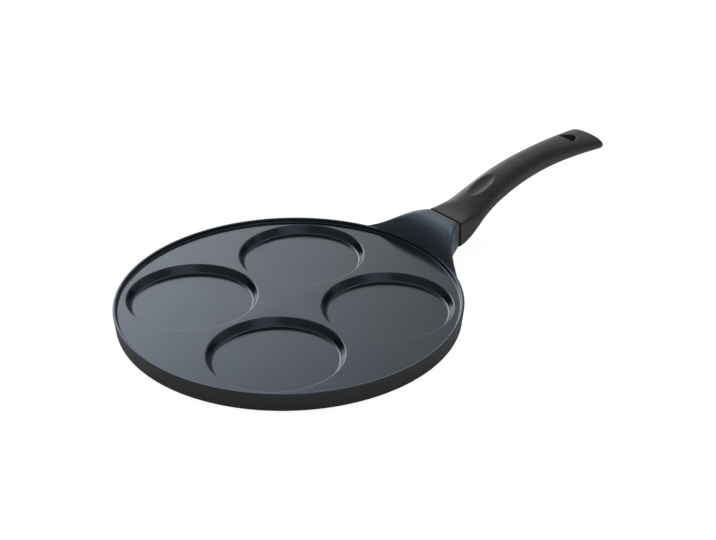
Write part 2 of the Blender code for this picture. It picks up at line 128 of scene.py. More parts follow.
def degrees(name, description, default):
    return bpy.props.FloatProperty(name=name, description=description, default=math.radians(default),
                                   unit="ROTATION", subtype="ANGLE")


def plain(name, description, default):
    return bpy.props.FloatProperty(name=name, description=description, default=default, precision=3)


def colour(name, description, default):
    return bpy.props.FloatVectorProperty(name=name, description=description, default=default,
                                         subtype="COLOR", size=3, min=0, max=4)


def cross_section(name, default):
    return bpy.props.FloatVectorProperty(
        name=name, description=f"Place, half-width and half-height of the {name.lower()}",
        default=default, size=3, unit="LENGTH", precision=4)


class DishSizes(bpy.types.PropertyGroup):
    """Sizes of the round dish and its wells"""
    rim_radius: metres("Rim radius", "Outer radius of the rim", PAN_HIGH.y)
    height: metres("Height", "Height of the rim above the worktop", 0.016)
    rim_rise: metres("Rim rise", "Height of the rim above the plate", 0.0032)
    rim_width: metres("Rim width", "Width of the rim's top", 0.0024)
    rim_round: metres("Rim rounding", "Radius of the rim's two top edges", 0.0008)
    rim_wall_run: metres("Rim wall run", "How far the rim's inner wall slopes in", 0.0014)
    rim_fillet: metres("Rim fillet", "Radius at the foot of the rim's inner wall", 0.0010)
    side_lean: metres("Side lean", "How far the outer side draws in towards the base", 0.0013)
    base_round: metres("Base rounding", "Radius between the side and the base", 0.0032)
    well_count: bpy.props.IntProperty(name="Wells", description="Number of wells", default=4, min=2, max=8)
    well_to_rim: metres("Well to rim", "Plate left between a well and the rim's foot", 0.0042)
    well_spacing: metres("Well spacing", "Plate left between two wells", 0.0057)
    well_floor: metres("Well floor", "Height of the well floors above the worktop", 0.0067)
    well_wall_run: metres("Well wall run", "How far a well's wall slopes in", 0.0048)
    well_fillet: metres("Well fillet", "Radius at the foot of a well's wall", 0.0024)
    well_edge: metres("Well edge", "Rounding of a well's top edge", 0.0007)


class NeckSizes(bpy.types.PropertyGroup):
    """Sizes of the neck and of the tang inside the handle"""
    length: metres("Length", "From the rim to the seam", 0.0265)
    root_depth: metres("Root depth", "How deep the neck starts inside the rim wall", 0.0012)
    key_depth: metres("Key depth", "How much deeper its hidden root lies", 0.0095)
    key_drop: metres("Key drop", "How much lower the top of that root lies", 0.0066)
    root_half_width: metres("Root half-width", "Half the width of the neck at the rim", 0.076)
    root_bottom: metres("Root bottom", "Height of the neck's underside at the rim", 0.0032)
    below_rim: metres("Below the rim", "How far under the rim the neck starts", 0.0020)
    root_draw_in: metres("Root draw-in", "How much narrower the neck pulls near the rim", 0.035)
    seam_draw_in: metres("Seam draw-in", "How much wider it pulls near the seam", 0.0130)
    top_rise: metres("Top rise", "Pull on the top near the rim", 0.0055)
    top_crown: metres("Top crown", "Pull on the top near the seam", 0.0036)
    belly_rise: metres("Belly rise", "Pull on the underside near the rim", 0.0033)
    belly_drop: metres("Belly drop", "Pull on the underside near the seam", 0.0070)
    seam_half_width: metres("Seam half-width", "Half the width at the seam", 0.0190)
    seam_half_height: metres("Seam half-height", "Half the height at the seam", 0.0115)
    seam_height: metres("Seam height", "Height of the seam's middle", 0.0219)
    groove: metres("Groove", "Gap between the neck and the handle", 0.0018)
    edge_break: metres("Edge break", "Rounding of both pieces' edges at the seam", 0.0004)
    tang_length: metres("Tang length", "How far the tang reaches into the handle", 0.027)
    tang_root: metres("Tang root", "How far the tang starts inside the neck", 0.006)
    tang_half_width: metres("Tang half-width", "Half the width of the tang", 0.0080)
    tang_half_height: metres("Tang half-height", "Half the height of the tang", 0.0035)
    tang_corner: metres("Tang corner", "Rounding of the tang's long edges", 0.0015)
    tang_pitch: degrees("Tang pitch", "How steeply the tang points up", 18)


class HandleSizes(bpy.types.PropertyGroup):
    """Sizes of the moulded handle"""
    length: metres("Length", "From the seam to the end, measured level", 0.17049)
    rise: metres("Rise", "How much higher the end lies than the seam", 0.03209)
    start_pull: metres("Start pull", "How far the centreline runs on from the seam", 0.0244)
    start_angle: degrees("Start angle", "Slope of the centreline at the seam", 2.3)
    end_pull: metres("End pull", "How far the centreline runs back from the end", 0.1222)
    end_angle: degrees("End angle", "Slope of the centreline at the end", -4.0)
    turn_in: metres("Turn-in", "Distance over which the sections turn square to the line", 0.026)
    square_fade: metres("Square fade", "Distance over which the square section turns round", 0.040)
    shoulder: cross_section("Shoulder", (0.0197, 0.0189, 0.0094))
    grip: cross_section("Grip", (0.0505, 0.0151, 0.0102))
    waist: cross_section("Waist", (0.1075, 0.0131, 0.0093))
    end_half_width: metres("End half-width", "Half the width of the end", 0.0189)
    end_half_height: metres("End half-height", "Half the height of the end", 0.0060)
    end_round: metres("End rounding", "Length of the rounded end", 0.0024)
    end_corner: metres("End corner", "How far the end's corners draw in", 0.0011)
    end_edge: metres("End edge", "Half the height of the end's last edge", 0.0032)
    thumb_from_seam: metres("Thumb rest place", "Thumb rest's distance from the seam", 0.0480)
    thumb_half_length: metres("Thumb rest half-length", "Half the length of the thumb rest", 0.0136)
    thumb_half_width: metres("Thumb rest half-width", "Half the width of the thumb rest", 0.0070)
    thumb_depth: metres("Thumb rest depth", "Depth of the thumb rest", 0.0019)
    hole_from_end: metres("Hole place", "Hanging hole's distance from the end", 0.0235)
    hole_length: metres("Hole length", "Length of the hanging hole", 0.0114)
    hole_width: metres("Hole width", "Width of the hanging hole", 0.0156)
    hole_corner: metres("Hole corner", "Radius of the hanging hole's two corners", 0.0024)
    hole_nose: metres("Hole nose", "Radius of the hanging hole's rounded side", 0.0045)
    hole_lip: metres("Hole lip", "Rounding of the hanging hole's mouths", 0.0008)


class FastenerSizes(bpy.types.PropertyGroup):
    """Sizes of the screw, the gasket and the base plate's holes"""
    from_seam: metres("From the seam", "Screw's distance from the seam", 0.0150)
    screw_radius: metres("Screw radius", "Radius of the screw's shank", 0.0025)
    head_radius: metres("Head radius", "Radius of the screw's head", 0.0046)
    head_height: metres("Head height", "Height of the screw's head", 0.0025)
    head_round: metres("Head rounding", "Rounding of the screw's head", 0.0011)
    head_depth: metres("Head depth", "Head's seat below the tang's axis", 0.0091)
    tip: metres("Tip", "Screw's tip above the tang's axis", 0.0025)
    thread_pitch: metres("Thread pitch", "Pitch of the screw's thread", 0.0008)
    thread_depth: metres("Thread depth", "Depth of the screw's thread", 0.0003)
    recess_length: metres("Recess length", "Span of the cross recess", 0.0050)
    recess_width: metres("Recess width", "Width of the cross recess", 0.0011)
    recess_depth: metres("Recess depth", "Depth of the cross recess", 0.0014)
    washer_bore: metres("Washer bore", "Radius of the washers' bores", 0.0028)
    washer_radius: metres("Washer radius", "Radius of the flat washer", 0.0048)
    washer_top: metres("Washer top", "Flat washer's top below the tang's axis", 0.0064)
    washer_thickness: metres("Washer thickness", "Thickness of the flat washer", 0.0008)
    seat_depth: metres("Seat depth", "Counterbore's seat below the tang's axis", 0.0061)
    counterbore: metres("Counterbore", "Radius of the counterbore", 0.0054)
    socket_clearance: metres("Socket clearance", "Gap between the tang and its socket", 0.0004)
    gasket_clearance: metres("Gasket clearance", "Gap beside the gasket", 0.0003)
    gasket_inset: metres("Gasket inset", "How far the gasket lies back from the surface", 0.0008)
    disc_hole: metres("Plate hole", "Radius of the base plate's holes", 0.0030)
    disc_pitch: metres("Plate hole pitch", "Spacing of the holes round a ring", 0.026)
    disc_first: metres("First ring", "Radius of the first ring of holes", 0.032)
    disc_step: metres("Ring step", "Distance between two rings of holes", 0.022)
    disc_edge: metres("Plain edge", "Plate left outside the last ring", 0.004)
    disc_clearance: metres("Plate clearance", "Gap round the base plate", 0.0003)


class Finishes(bpy.types.PropertyGroup):
    """Colours and gloss of the finishes"""
    coating: colour("Coating", "Non-stick coating of the dish", (0.0026, 0.0033, 0.0050))
    coating_sheen: colour("Coating tint", "Tint of the coating's reflections", (0.62, 0.80, 1.0))
    coating_roughness: plain("Coating roughness", "Roughness of the coating", 0.16)
    coating_ripple: metres("Coating ripple", "Depth of the coating's ripple", 0.000003)
    coating_ior: plain("Coating refraction", "Index of refraction of the coating", 1.75)
    neck: colour("Neck", "Coating of the neck", (0.0050, 0.0058, 0.0085))
    neck_roughness: plain("Neck roughness", "Roughness of the neck's coating", 0.31)
    neck_ripple: metres("Neck ripple", "Depth of the neck coating's ripple", 0.000008)
    neck_ior: plain("Neck refraction", "Index of refraction of the neck's coating", 2.15)
    enamel: colour("Outside", "Matt finish of the outside", (0.0215, 0.0215, 0.0215))
    handle: colour("Handle", "Moulding of the handle", (0.0185, 0.0185, 0.0182))
    rubber: colour("Gasket", "Rubber of the gasket", (0.0220, 0.0220, 0.0230))
    steel: colour("Steel", "Steel of the plate, screw and washers", (0.55, 0.55, 0.56))


class StudioSettings(bpy.types.PropertyGroup):
    """Light, floor and camera"""
    level: plain("Light level", "World light on matt surfaces", 0.496)
    right_fill: plain("Right fill", "How much stronger that light is from the right", 1.5)
    surround: plain("Surround", "Reflected light from all round", 0.216)
    surround_low: plain("Low surround", "Reflected light from near the horizon", 0.096)
    dim_side: plain("Dim side", "Reflected light added at the back right", 0.152)
    bright_side: plain("Bright side", "Reflected light added at the back left", 3.4)
    high_back: plain("High back", "Share of that light above the back wall", 0.05)
    overhead: plain("Overhead", "Reflected light added straight above", 0.112)
    low_back: plain("Low back", "Reflected light added low at the back", 0.40)
    shoulder_light: plain("Shoulder light", "Reflected light added high at the back", 0.84)
    front_light: plain("Front light", "Reflected light added high in front", 0.40)
    lamp_power: bpy.props.FloatProperty(name="Lamp power", description="Power of the overhead lamp",
                                        default=6.0, unit="POWER")
    floor: colour("Floor", "Colour of the floor", (0.94, 0.94, 0.94))
    camera_place: bpy.props.FloatVectorProperty(
        name="Camera place", description="Where the camera stands", default=(-0.5888, -0.7883, 0.5862),
        size=3, subtype="TRANSLATION", unit="LENGTH", precision=4)
    camera_aim: bpy.props.FloatVectorProperty(
        name="Camera aim", description="Direction that the camera looks in",
        default=(0.5602, 0.6707, -0.4862), size=3, subtype="DIRECTION")
    focal_length: bpy.props.FloatProperty(name="Focal length", description="Focal length of the lens",
                                          default=74.06, unit="CAMERA", subtype="DISTANCE_CAMERA")


# Curves and outlines

def bezier(controls, t):
    """Point or number on a cubic curve, for t from 0 to 1."""
    a, b, c, d = controls
    s = 1 - t
    return a * s**3 + b * 3 * s * s * t + c * 3 * s * t * t + d * t**3


def ease(t):
    """0 to 1 with a level start and finish."""
    t = min(max(t, 0.0), 1.0)
    return t * t * (3 - 2 * t)


def swell(knots, place):
    """Smooth value through (place, value) knots, with no overshoot between them."""
    rises = [(v1 - v0) / (u1 - u0) for (u0, v0), (u1, v1) in zip(knots, knots[1:])]
    slopes = [rises[0]]
    for before, after in zip(rises, rises[1:]):
        slopes.append(2 * before * after / (before + after) if before * after > 0 else 0.0)
    slopes.append(rises[-1])
    i = 0
    while i < len(knots) - 2 and place > knots[i + 1][0]:
        i += 1
    (u0, v0), (u1, v1) = knots[i], knots[i + 1]
    span = u1 - u0
    t = min(max((place - u0) / span, 0.0), 1.0)
    return bezier((v0, v0 + slopes[i] * span / 3, v1 - slopes[i + 1] * span / 3, v1), t)


def arc(centre, radius, start, finish, steps):
    """Points of a round stretch, both ends included."""
    turns = [start + (finish - start) * i / steps for i in range(steps + 1)]
    return [(centre[0] + radius * math.cos(a), centre[1] + radius * math.sin(a)) for a in turns]


def fillet_to(centre, radius, point):
    """Arc round a centre, from straight below it to where the straight run to a point leaves it."""
    dx = point[0] - centre[0]
    dz = point[1] - centre[1]
    leave = math.atan2(dz, dx) - math.acos(min(radius / math.hypot(dx, dz), 1.0))
    return arc(centre, radius, -math.pi / 2, leave, ROUND_STEPS)


def superellipse(half_width, half_height, squareness, count):
    """Closed outline of (y, z) points, from a round section to a nearly square one."""
    power = 2 / squareness
    outline = []
    for i in range(count):
        angle = 2 * math.pi * i / count
        c, s = math.cos(angle), math.sin(angle)
        outline.append((math.copysign(abs(c) ** power, c) * half_width,
                        math.copysign(abs(s) ** power, s) * half_height))
    return outline


def tangent_side(a, b):
    """Which way the straight side from one circle (x, y, radius) to the next one faces."""
    dx, dy = b[0] - a[0], b[1] - a[1]
    return math.atan2(dy, dx) - math.acos((a[2] - b[2]) / math.hypot(dx, dy))


def rounded_outline(circles, steps):
    """Outline round (x, y, radius) circles that run anticlockwise."""
    outline = []
    for i, circle in enumerate(circles):
        start = tangent_side(circles[i - 1], circle)
        finish = tangent_side(circle, circles[(i + 1) % len(circles)])
        while finish < start:
            finish += 2 * math.pi
        outline += arc(circle[:2], circle[2], start, finish, steps)
    return outline


def outline_distance(point, outline):
    """Distance from a closed outline that runs anticlockwise, below zero inside it."""
    point = Vector(point)
    nearest = math.inf
    inside = True
    for i, corner in enumerate(outline):
        start, finish = Vector(corner), Vector(outline[(i + 1) % len(outline)])
        side = finish - start
        if side.length_squared == 0:
            continue
        t = min(max((point - start).dot(side) / side.length_squared, 0), 1)
        nearest = min(nearest, (point - start - side * t).length)
        if side.x * (point.y - start.y) - side.y * (point.x - start.x) < 0:
            inside = False
    return -nearest if inside else nearest


# Modelling steps

def start_fresh():
    """Object mode with nothing selected."""
    if bpy.context.object and bpy.context.object.mode != "OBJECT":
        bpy.ops.object.mode_set(mode="OBJECT")
    bpy.ops.object.select_all(action="DESELECT")


def take_up(piece):
    """Makes a piece the one that the next steps work on."""
    start_fresh()
    piece.select_set(True)
    bpy.context.view_layer.objects.active = piece


def added(name):
    """Names what was just added."""
    piece = bpy.context.object
    piece.name = piece.data.name = name
    return piece


def lathe(name, profile, steps):
    """Profile of (radius, z) points, drawn point by point and spun once round the Z axis."""
    start_fresh()
    bpy.ops.mesh.primitive_plane_add(size=0.001, location=(0, 0, 0))
    piece = added(name)
    bpy.ops.object.mode_set(mode="EDIT")
    bpy.ops.mesh.merge(type="CENTER")
    here = profile[0]
    bpy.ops.transform.translate(value=(here[0], 0, here[1]))
    for place in profile[1:]:
        step = (place[0] - here[0], 0, place[1] - here[1])
        bpy.ops.mesh.extrude_vertices_move(TRANSFORM_OT_translate={"value": step})
        here = place
    bpy.ops.mesh.select_all(action="SELECT")
    bpy.ops.mesh.spin(steps=steps, angle=2 * math.pi, center=(0, 0, 0), axis=(0, 0, 1))
    bpy.ops.mesh.select_all(action="SELECT")
    bpy.ops.mesh.remove_doubles(threshold=DOUBLES)
    bpy.ops.mesh.select_all(action="SELECT")
    bpy.ops.mesh.normals_make_consistent(inside=False)
    bpy.ops.object.mode_set(mode="OBJECT")
    return piece


def loft(name, rings):
    """Closed skin through rings: a filled circle, extruded ring by ring and shaped to each outline."""
    start_fresh()
    bpy.ops.mesh.primitive_circle_add(vertices=len(rings[0]), radius=0.01, fill_type="NGON")
    piece = added(name)
    bpy.ops.object.mode_set(mode="EDIT")
    mesh = bmesh.from_edit_mesh(piece.data)
    mark = mesh.verts.layers.int.new("outline")
    for i, vert in enumerate(mesh.verts):
        vert[mark] = i
        vert.co = rings[0][i]
    bmesh.update_edit_mesh(piece.data)
    for ring in rings[1:]:
        bpy.ops.mesh.extrude_region_move()
        mesh = bmesh.from_edit_mesh(piece.data)
        mark = mesh.verts.layers.int["outline"]
        for vert in mesh.verts:
            if vert.select:
                vert.co = ring[vert[mark]]
        bmesh.update_edit_mesh(piece.data)
    mesh = bmesh.from_edit_mesh(piece.data)
    mesh.verts.layers.int.remove(mesh.verts.layers.int["outline"])
    bmesh.update_edit_mesh(piece.data)
    bpy.ops.mesh.select_all(action="SELECT")
    bpy.ops.mesh.normals_make_consistent(inside=False)
    bpy.ops.object.mode_set(mode="OBJECT")
    return piece


def prism(name, outline, low, high, axis):
    """Outline drawn across an axis, X or Z, and run along it from low to high."""
    if axis == "X":
        return loft(name, [[(level, y, z) for y, z in outline] for level in (low, high)])
    return loft(name, [[(x, y, level) for x, y in outline] for level in (low, high)])


def set_place(piece, matrix):
    """Moves a new piece by a matrix and keeps the place in its mesh."""
    take_up(piece)
    piece.matrix_world = matrix
    bpy.ops.object.transform_apply(location=True, rotation=True, scale=True)
    return piece


def apply_step(piece, kind, **settings):
    """Modifier that is set and applied at once."""
    take_up(piece)
    bpy.ops.object.modifier_add(type=kind)
    step = piece.modifiers[-1]
    for key, value in settings.items():
        setattr(step, key, value)
    bpy.ops.object.modifier_apply(modifier=step.name)


def combine(piece, tool, operation, place=None):
    """Boolean that also brings the tool's finish; the tool is put in its place first."""
    if place is not None:
        set_place(tool, place)
    apply_step(piece, "BOOLEAN", operation=operation, solver="EXACT", material_mode="TRANSFER", object=tool)
    bpy.data.objects.remove(tool)


def bevel(piece, width):
    apply_step(piece, "BEVEL", width=width, segments=BEVEL_SEGMENTS, limit_method="ANGLE",
               angle_limit=BEVEL_ANGLE)


def give(piece, *finishes):
    """Gives a piece its finishes in place of those that it has."""
    piece.data.materials.clear()
    for finish in finishes:
        piece.data.materials.append(finish)
    return piece


def keep(piece, node):
    """Closes the work on a piece: checks it, smooths it and puts it in the node's place."""
    mesh = bmesh.new()
    mesh.from_mesh(piece.data)
    loose = sum(1 for edge in mesh.edges if len(edge.link_faces) != 2)
    mesh.free()
    if loose:
        raise RuntimeError(f"{piece.name} has {loose} open edges")
    take_up(piece)
    bpy.ops.object.shade_smooth_by_angle(angle=SMOOTH_ANGLE)
    apply_step(piece, "WEIGHTED_NORMAL", keep_sharp=True)
    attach(piece, BODY)
    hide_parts(node)


# Finishes

class Nodes:
    """A node tree, with a short way to add to it."""

    def __init__(self, owner):
        owner.use_nodes = True
        self.tree = owner.node_tree

    def feed(self, socket, value):
        """Sets a socket to a value, or joins it to another node's socket."""
        if isinstance(value, bpy.types.NodeSocket):
            self.tree.links.new(value, socket)
        else:
            socket.default_value = value

    def add(self, kind, inputs, **settings):
        """Adds a node and gives its outputs; inputs are named, or numbered where two share a name."""
        new = self.tree.nodes.new(kind)
        for key, value in settings.items():
            setattr(new, key, value)
        for key, value in inputs.items():
            self.feed(new.inputs[key], value)
        return new.outputs


class Recipe(Nodes):
    """Nodes of one finish, on Object coordinates."""

    def __init__(self, name):
        self.finish = bpy.data.materials.new(name)
        super().__init__(self.finish)
        self.place = self.add("ShaderNodeTexCoord", {})["Object"]

    def noise(self, scale, detail, roughness=0.55):
        """Noise whose scale is in spots per metre."""
        inputs = {"Scale": scale, "Detail": detail, "Roughness": roughness, "Vector": self.place}
        return self.add("ShaderNodeTexNoise", inputs)["Fac"]

    def spread(self, source, low, high):
        """A noise, spread from low to high."""
        inputs = {"From Min": NOISE_LOW, "From Max": NOISE_HIGH, "To Min": low, "To Max": high,
                  "Value": source}
        return self.add("ShaderNodeMapRange", inputs)["Result"]

    def tones(self, source, tone, dark, light):
        """Colour that runs with a noise from a darker to a lighter share of a tone."""
        ends = {end: (*(part * share for part in tone), 1) for end, share in (("A", dark), ("B", light))}
        factor = self.spread(source, 0, 1)
        return self.add("ShaderNodeMix", {"Factor": factor, **ends}, data_type="RGBA")["Result"]

    def bump(self, source, depth, **before):
        """Relief of a depth in metres, on top of the Normal that is given."""
        inputs = {"Strength": 1.0, "Distance": depth, "Height": source, **before}
        return self.add("ShaderNodeBump", inputs)["Normal"]

    def finished(self, **values):
        """The finish, once the shader's sockets are fed."""
        shader = self.tree.nodes["Principled BSDF"]
        for key, value in values.items():
            self.feed(shader.inputs[key.replace("_", " ")], value)
        return self.finish


def coating_finish(name, tone, tint, roughness, ripple, ior):
    """Semi-gloss sprayed coating: faint mottling, and a fine ripple in its surface."""
    recipe = Recipe(name)
    cloud = recipe.noise(38, 2)
    broad = recipe.spread(cloud, roughness - 0.025, roughness + 0.025)
    fine = recipe.spread(recipe.noise(2600, 2), -0.02, 0.02)
    waves = recipe.bump(recipe.noise(420, 2), ripple)
    return recipe.finished(
        Base_Color=recipe.tones(cloud, tone, 0.9, 1.12),
        Roughness=recipe.add("ShaderNodeMath", {0: broad, 1: fine}, operation="ADD")[0],
        Normal=recipe.bump(recipe.noise(3200, 2), ripple * 0.12, Normal=waves),
        IOR=ior, Specular_Tint=(*tint, 1))


def enamel_finish(name, tone):
    """Matt sprayed outside with a fine grain."""
    recipe = Recipe(name)
    grain = recipe.noise(1900, 3)
    return recipe.finished(
        Base_Color=recipe.tones(grain, tone, 0.8, 1.25),
        Roughness=recipe.spread(recipe.noise(60, 2), 0.52, 0.62),
        Normal=recipe.bump(grain, 0.00003), Specular_IOR_Level=0.24)


def moulded_finish(name, tone):
    """Soft black moulding with the fine even grain of an etched mould."""
    recipe = Recipe(name)
    cloud = recipe.noise(45, 2)
    return recipe.finished(
        Base_Color=recipe.tones(cloud, tone, 0.92, 1.08),
        Roughness=recipe.spread(cloud, 0.40, 0.46),
        Normal=recipe.bump(recipe.noise(1500, 4, 0.6), 0.00005), Specular_IOR_Level=0.5)


def rubber_finish(name, tone):
    """Silicone, matt and slightly uneven."""
    recipe = Recipe(name)
    cloud = recipe.noise(900, 3)
    return recipe.finished(
        Base_Color=recipe.tones(cloud, tone, 0.85, 1.2),
        Roughness=recipe.spread(cloud, 0.7, 0.8),
        Normal=recipe.bump(cloud, 0.00002), Specular_IOR_Level=0.3)


def turned_steel_finish(name, tone):
    """Steel brushed in rings round the Z axis, as a spinning brush leaves it."""
    recipe = Recipe(name)
    place = recipe.add("ShaderNodeSeparateXYZ", {0: recipe.place})
    level = recipe.add("ShaderNodeCombineXYZ", {"X": place["X"], "Y": place["Y"]})["Vector"]
    reach = recipe.add("ShaderNodeVectorMath", {0: level}, operation="LENGTH")["Value"]
    lines = recipe.add("ShaderNodeTexNoise", {"Scale": 1400, "Detail": 3, "W": reach},
                       noise_dimensions="1D")["Fac"]
    return recipe.finished(
        Base_Color=recipe.tones(lines, tone, 0.86, 1.08),
        Roughness=recipe.spread(lines, 0.24, 0.42),
        Normal=recipe.bump(lines, 0.00001), Metallic=1.0)


def plated_finish(name, tone):
    """Plain rolled steel of the small parts."""
    recipe = Recipe(name)
    cloud = recipe.noise(1200, 3)
    return recipe.finished(
        Base_Color=recipe.tones(cloud, tone, 0.85, 1.0),
        Roughness=recipe.spread(cloud, 0.26, 0.40), Metallic=1.0)


# Shapes of the casting

def plate_height(dish):
    return dish.height - dish.rim_rise


def plate_radius(dish):
    return dish.rim_radius - dish.rim_width - dish.rim_wall_run


def well_ring_radius(dish):
    reach = plate_radius(dish) - dish.well_to_rim + dish.well_spacing / 2
    return reach / (1 + math.sin(math.pi / dish.well_count))


def well_radius(dish):
    return well_ring_radius(dish) * math.sin(math.pi / dish.well_count) - dish.well_spacing / 2


def dish_profile(dish, fastener):
    """Half section of the dish, with the recess for the base plate under it."""
    recess_radius = PLATE_HIGH.x + fastener.disc_clearance
    recess_height = PLATE_HIGH.z + fastener.disc_clearance
    lip_outer = (dish.rim_radius, dish.height - dish.rim_round)
    lip_inner = (dish.rim_radius - dish.rim_width, dish.height - dish.rim_round)
    base_centre = (dish.rim_radius - dish.side_lean - dish.base_round, dish.base_round)
    plate_centre = (plate_radius(dish), plate_height(dish) + dish.rim_fillet)
    profile = [(0, recess_height), (recess_radius, recess_height), (recess_radius, 0)]
    profile += fillet_to(base_centre, dish.base_round, lip_outer)
    profile += arc((lip_outer[0] - dish.rim_round, lip_outer[1]), dish.rim_round,
                   0, math.pi / 2, ROUND_STEPS)
    profile += arc((lip_inner[0] + dish.rim_round, lip_inner[1]), dish.rim_round,
                   math.pi / 2, math.pi, ROUND_STEPS)
    profile += reversed(fillet_to(plate_centre, dish.rim_fillet, lip_inner))
    profile.append((0, plate_height(dish)))
    return profile


def well_profile(dish):
    """Half section of the space that one well takes out of the plate, its top edge rounded."""
    radius = well_radius(dish)
    top = plate_height(dish)
    floor_radius = radius - dish.well_wall_run
    foot_centre = (floor_radius, dish.well_floor + dish.well_fillet)
    edge = (radius - dish.well_edge, top - dish.well_edge)
    foot = fillet_to(foot_centre, dish.well_fillet, edge)
    slope = math.atan2(edge[1] - foot[-1][1], edge[0] - foot[-1][0])
    bend = dish.well_edge * 2
    lip_centre = (radius + dish.well_edge, top - bend)
    profile = [(0, dish.well_floor)] + foot
    lip = arc(lip_centre, bend, math.pi / 2 + slope, math.pi / 2, ROUND_STEPS // 2)
    profile += lip
    profile += [(lip[-1][0], dish.height + CUT_OVERRUN), (0, dish.height + CUT_OVERRUN)]
    return profile


def seam_ring(neck, x, inset):
    """The section that neck, gasket and handle share, drawn in by an inset."""
    outline = superellipse(neck.seam_half_width - inset, neck.seam_half_height - inset,
                           SEAM_SQUARENESS, SECTION_POINTS)
    return [(x, y, neck.seam_height + z) for y, z in outline]


def neck_rings(dish, neck):
    """Sections of the neck, from just inside the leaning rim wall to the upright seam face."""
    seam_x = dish.rim_radius + neck.length
    seam_bottom = neck.seam_height - neck.seam_half_height
    seam_top = neck.seam_height + neck.seam_half_height
    root_top = dish.height - neck.below_rim
    half_widths = (neck.root_half_width, neck.root_half_width - neck.root_draw_in,
                   neck.seam_half_width + neck.seam_draw_in, neck.seam_half_width)
    tops = (root_top, root_top + neck.top_rise, seam_top + neck.top_crown, seam_top)
    bottoms = (neck.root_bottom, neck.root_bottom + neck.belly_rise,
               seam_bottom - neck.belly_drop, seam_bottom)

    def section(u, top, bottom, sunk):
        outline = superellipse(bezier(half_widths, u), (top - bottom) / 2,
                               bezier(NECK_SQUARENESS, u), SECTION_POINTS)
        reach = bezier(NECK_REACH, u)
        ring = []
        for y, z in outline:
            z += (top + bottom) / 2
            wall = dish.rim_radius - neck.root_depth - sunk - dish.side_lean * (1 - z / dish.height)
            root_x = math.sqrt(wall * wall - y * y)
            ring.append((root_x * (1 - reach) + (seam_x - neck.edge_break) * reach, y, z))
        return ring

    rings = [section(0, tops[0] - neck.key_drop, bottoms[0], neck.key_depth)]
    for i in range(NECK_SECTIONS):
        u = i / (NECK_SECTIONS - 1)
        rings.append(section(u, bezier(tops, u), bezier(bottoms, u), 0))
    for x, inset in edge_steps(neck.edge_break):
        rings.append(seam_ring(neck, seam_x - neck.edge_break + x, inset))
    return rings


def edge_steps(radius):
    """How far each ring of a rounded edge runs on, and how far it draws in."""
    turns = [math.pi / 2 * i / EDGE_STEPS for i in range(1, EDGE_STEPS + 1)]
    return [(radius * math.sin(turn), radius * (1 - math.cos(turn))) for turn in turns]


def tang_outline(neck, clearance):
    """The tang's section, or with a clearance that of its socket."""
    y = neck.tang_half_width - neck.tang_corner
    z = neck.tang_half_height - neck.tang_corner
    radius = neck.tang_corner + clearance
    corners = [(-y, -z), (y, -z), (y, z), (-y, z)]
    return rounded_outline([(*corner, radius) for corner in corners], ROUND_STEPS)


def joint_place(dish, neck):
    """Placement with X along the tang, from where it leaves the seam."""
    turn = Euler((0, -neck.tang_pitch, 0)).to_matrix().to_4x4()
    return Matrix.Translation((dish.rim_radius + neck.length, 0, neck.seam_height)) @ turn


def screw_place(dish, neck, fastener):
    """Placement with Z along the screw, on the tang's axis."""
    return joint_place(dish, neck) @ Matrix.Translation((fastener.from_seam, 0, 0))


# Shapes of the handle

class HandleCurve:
    """Centreline of the handle, with places given as distances from the seam."""

    def __init__(self, dish, neck, handle):
        start = Vector((dish.rim_radius + neck.length + neck.groove, 0, neck.seam_height))
        end = start + Vector((handle.length, 0, handle.rise))
        leave = Vector((math.cos(handle.start_angle), 0, math.sin(handle.start_angle)))
        arrive = Vector((math.cos(handle.end_angle), 0, math.sin(handle.end_angle)))
        controls = (start, start + leave * handle.start_pull, end - arrive * handle.end_pull, end)
        self.points = [bezier(controls, i / CURVE_STEPS) for i in range(CURVE_STEPS + 1)]
        self.reach = [0.0]
        for a, b in zip(self.points, self.points[1:]):
            self.reach.append(self.reach[-1] + (b - a).length)
        self.length = self.reach[-1]
        places = (0, handle.shoulder[0], handle.grip[0], handle.waist[0], self.length)
        widths = (neck.seam_half_width, handle.shoulder[1], handle.grip[1], handle.waist[1],
                  handle.end_half_width)
        heights = (neck.seam_half_height, handle.shoulder[2], handle.grip[2], handle.waist[2],
                   handle.end_half_height)
        self.widths = list(zip(places, widths))
        self.heights = list(zip(places, heights))

    def at(self, distance):
        """Point and direction at a distance along the curve, smooth between its points."""
        i = 1
        while i < len(self.reach) - 1 and self.reach[i] < distance:
            i += 1
        span = self.points[i] - self.points[i - 1]
        part = (distance - self.reach[i - 1]) / (self.reach[i] - self.reach[i - 1])
        before = self.points[i] - self.points[max(i - 2, 0)]
        after = self.points[min(i + 1, len(self.points) - 1)] - self.points[i - 1]
        along = before.normalized().lerp(after.normalized(), part).normalized()
        return self.points[i - 1] + span * part, along

    def frame(self, distance):
        """Placement with X along the handle and Z out of its top."""
        point, along = self.at(distance)
        up = along.cross(Vector((0, 1, 0)))
        return Matrix((
            (along.x, 0, up.x, point.x),
            (0, 1, 0, 0),
            (along.z, 0, up.z, point.z),
            (0, 0, 0, 1),
        ))

    def half_sizes(self, distance):
        """Half-width and half-height at a distance along the curve."""
        return swell(self.widths, distance), swell(self.heights, distance)


def hole_outline(handle):
    """Outline of the hanging hole: straight towards the pan, rounded towards the end."""
    back = -handle.hole_length / 2 + handle.hole_corner
    side = handle.hole_width / 2 - handle.hole_corner
    nose = handle.hole_length / 2 - handle.hole_nose
    circles = [(back, -side, handle.hole_corner), (nose, 0, handle.hole_nose),
               (back, side, handle.hole_corner)]
    return rounded_outline(circles, HANGING_HOLE_STEPS)


